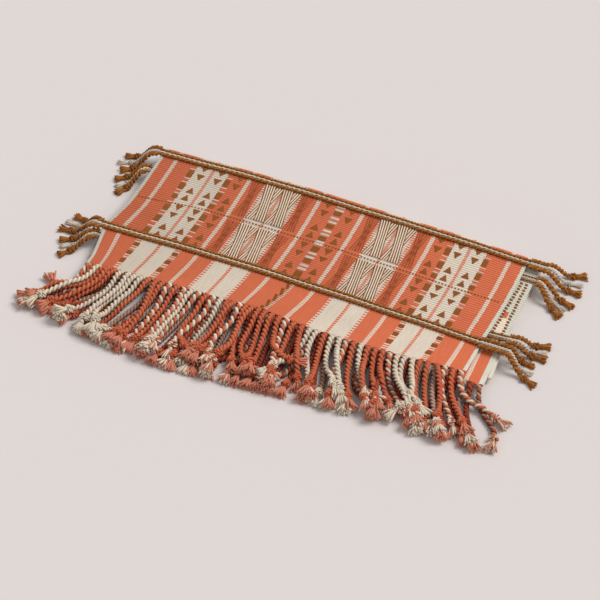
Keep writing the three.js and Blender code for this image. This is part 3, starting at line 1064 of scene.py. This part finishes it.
def add_fringe_cord(pile, u, s, path, light):
    length = cord_length(u)
    first, second = tint(fringe_colour(u - 1.2)), tint(fringe_colour(u + 1.2))
    if rng.uniform() < MIXED_SHARE:
        second = tint(CORAL)
    body = path[s <= length - 2]
    along = distances(body)
    spread = 1 + 0.32 * (1 - smooth(0, 7, along))
    squash = 0.36 + 0.64 * smooth(0, 7, along)
    twist = CORD_TWIST * rng.uniform(0.92, 1.1)
    radius = CORD_RADIUS * rng.uniform(0.94, 1.04)
    sections = rope_sections(along + rng.uniform(0, 9), radius, twist, spread, squash, CORD_PLY_OFFSET)
    rings = sweep(body, sections)
    # Painted shade: each cord is darker on its underside and deep in the fringe near the table, times
    # the fringe's light factor.
    under = smooth(-0.7, 0.6, (rings[..., 2] - body[:, None, 2]) / radius)[..., None]
    painted_deep_shade = 1 - (1 - smooth(1.0, 11.0, rings[..., 2]))[..., None] * FLOOR_SHADE
    shade = painted_deep_shade * (1 - (1 - under) * DEEP_SHADE) * light
    pile.add(rings, along, first, second, shade)
    add_knot(pile, path, length - 7, 0.92 * CORD_RADIUS, first, second)
    pale = [blend(colour, CREAM, 0.2) for colour in (first, second)]
    add_tuft(pile, path, length - 4, TUFT_LENGTH + 1, CORD_RADIUS, *pale, 26, 1.3)


def make_fringe(fringe, laid):
    luck = np.random.default_rng(fringe["seed"])
    numbers = np.arange(CORDS_PER_END)
    lean_places, lean_turns = np.linspace(0, CORDS_PER_END, 12), luck.normal(0, WANDER["lean"], 12)
    leans = np.interp(numbers, lean_places, lean_turns)
    plans = [fringe_plan(fringe, number, luck, leans[number]) for number in numbers]
    paths = {}
    for number in luck.permutation(CORDS_PER_END):
        u, s, x, y, height = plans[number]
        z = lay_cord(s, x, y, height, fringe["drop"], laid, cord_length(u))
        paths[number] = np.stack([x, y, z], axis=1)
        laid = np.concatenate([laid, paths[number][4:]])
    pieces = []
    for bundle in range(CORDS_PER_END // CORDS_PER_BUNDLE):
        pile = Pile()
        for number in range(bundle * CORDS_PER_BUNDLE, (bundle + 1) * CORDS_PER_BUNDLE):
            u, s = plans[number][:2]
            add_fringe_cord(pile, u, s, paths[number], fringe["light"])
        piece = pile.make(f"{fringe['name']}_cords_{bundle + 1}", yarn, "fringe_cord")
        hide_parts(f"{fringe['name']}_bundle_{bundle + 1}")
        pieces.append(piece)
    return pieces, laid


laid = np.empty((0, 3))
for fringe in FRINGES:
    pieces, laid = make_fringe(fringe, laid)
    with_cloth += pieces


# ---- The stage ----

FLOOR_HALF = 6.0   # metres
WORLD_STRENGTH = 0.47
WORLD_COLOUR = (1.0, 0.99, 0.985, 1.0)
SUN_PLACE = (0.52, 0.26, 0.8)
SUN_STRENGTH = 2.0
SUN_SPREAD = 30    # degrees
SUN_COLOUR = (1.0, 0.98, 0.965)


def make_floor():
    mesh = bpy.data.meshes.new("floor")
    half = FLOOR_HALF
    corners = [(-half, -half, 0), (half, -half, 0), (half, half, 0), (-half, half, 0)]
    mesh.from_pydata(corners, [], [(0, 1, 2, 3)])
    floor = bpy.data.objects.new("floor", mesh)
    bpy.context.scene.collection.objects.link(floor)
    shader = Shader("floor_paint", roughness=0.9, sheen=0.0)
    shader.surface.inputs["Base Color"].default_value = (*FLOOR, 1.0)
    mesh.materials.append(shader.material)


def make_sun():
    """A soft light from far off."""
    light = bpy.data.lights.new("key", "SUN")
    light.energy, light.angle, light.color = SUN_STRENGTH, math.radians(SUN_SPREAD), SUN_COLOUR
    lamp = bpy.data.objects.new("key", light)
    bpy.context.scene.collection.objects.link(lamp)
    lamp.rotation_mode = "QUATERNION"
    lamp.rotation_quaternion = (-Vector(SUN_PLACE)).to_track_quat("-Z", "Y")


def make_world():
    world = bpy.data.worlds.new("studio")
    world.use_nodes = True
    sky = world.node_tree.nodes["Background"]
    sky.inputs[0].default_value = WORLD_COLOUR
    sky.inputs[1].default_value = WORLD_STRENGTH
    bpy.context.scene.world = world


make_floor()
make_world()
make_sun()
bpy.context.scene.view_settings.view_transform = "Standard"
